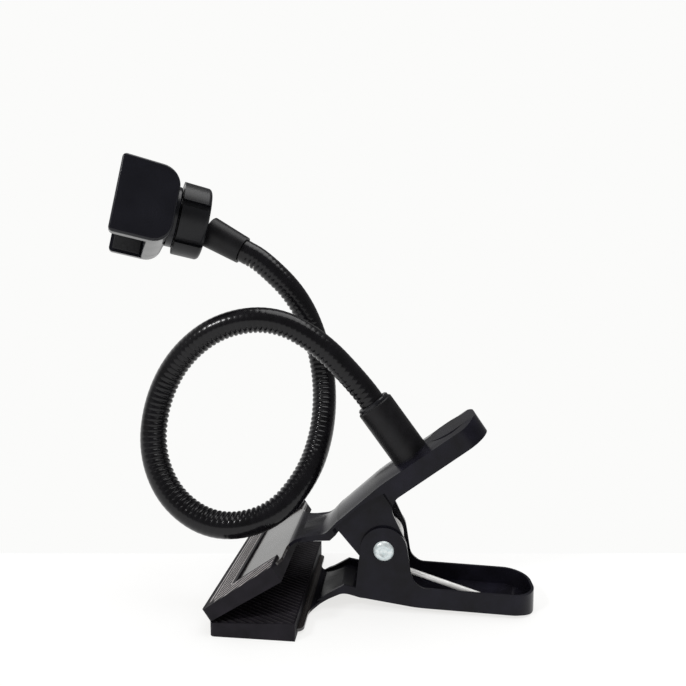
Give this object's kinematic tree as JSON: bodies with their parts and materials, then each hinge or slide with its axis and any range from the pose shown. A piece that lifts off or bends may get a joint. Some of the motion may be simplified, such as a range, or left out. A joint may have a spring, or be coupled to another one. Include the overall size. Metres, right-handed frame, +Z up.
{
  "type": "phone gooseneck holder",
  "caption": "Phone holder with a sprung clip that grips a table edge, a bendable gooseneck arm and a ball-jointed bracket with a sliding claw.",
  "frame": {"origin": "middle of the front band of the lower jaw pad, on its underside", "axes": "+X towards the handles, +Y along the hinge pin away from the viewer, +Z up, away from the lower jaw pad's underside"},
  "size_m": [0.2134, 0.0915, 0.1988],
  "materials": {
    "jaw_rubber": "moulded black rubber, matt with fine ribs",
    "lever_paint": "gloss black stove enamel on pressed steel",
    "rivet_zinc": "bright zinc plated rivet",
    "spring_nickel": "nickel plated spring wire",
    "socket_black": "black coated turned steel, satin gloss",
    "collar_plastic": "black plastic collar",
    "screw_steel": "zinc plated screw and washer",
    "hose_steel": "wound steel hose",
    "skin_plastic": "shrunk black plastic over the ribbed hose",
    "ferrule_black": "black coated ferrule",
    "ball_steel": "polished steel ball",
    "bracket_plastic": "black moulded plastic, fine satin gloss",
    "foam": "black foam pad"
  },
  "bodies": {
    "clip_base": {"lower_lever": "lever_paint", "lower_jaw_pad": "jaw_rubber", "hinge_pin": "rivet_zinc", "spring_coil": "spring_nickel"},
    "upper_arm": {"upper_lever": "lever_paint", "upper_jaw_pad": "jaw_rubber", "spring_upper_leg": "spring_nickel", "arm_socket": "socket_black", "mouth_collar": "collar_plastic", "socket_washer": "screw_steel", "socket_screw": "screw_steel", "gooseneck_core": "hose_steel", "gooseneck_skin": "skin_plastic", "head_ferrule": "ferrule_black"},
    "ball": {"ball_stud": "ball_steel"},
    "nut": {"locking_nut": "bracket_plastic"},
    "bracket": {"bracket_housing": "bracket_plastic", "bracket_front": "bracket_plastic", "cover_screws": "screw_steel", "fixed_claw_pad": "foam", "return_spring_near": "spring_nickel", "return_spring_far": "spring_nickel"},
    "slider": {"sliding_claw": "bracket_plastic", "sliding_claw_pad": "foam"}
  },
  "joints": [
    {"name": "clamp_hinge", "type": "hinge", "parent": "clip_base", "child": "upper_arm", "pos_m": [0.0623, 0, 0.0272], "axis": [0, 1, 0], "range_deg": [0, 58], "stiffness_Nm_per_rad": 1.6, "springref_deg": -60.16},
    {"name": "ball_spin", "type": "hinge", "parent": "upper_arm", "child": "ball", "pos_m": [-0.03305, 0.01973, 0.17337], "axis": [-0.8733, -0.0441, 0.4852], "continuous": true},
    {"name": "head_tilt", "type": "hinge", "parent": "ball", "child": "nut", "pos_m": [-0.03305, 0.01973, 0.17337], "axis": [0.4418, -0.4913, 0.7506], "range_deg": [-58.6, 1.4]},
    {"name": "head_roll", "type": "hinge", "parent": "nut", "child": "bracket", "pos_m": [-0.03305, 0.01973, 0.17337], "axis": [-0.8649, -0.4556, 0.2109], "continuous": true},
    {"name": "claw_slide", "type": "slide", "parent": "bracket", "child": "slider", "axis": [-0.4776, 0.8761, -0.0663], "range_m": [0, 0.032], "stiffness_N_per_m": 250, "springref_m": -0.032, "deforming": ["return_spring_near", "return_spring_far"]}
  ]
}
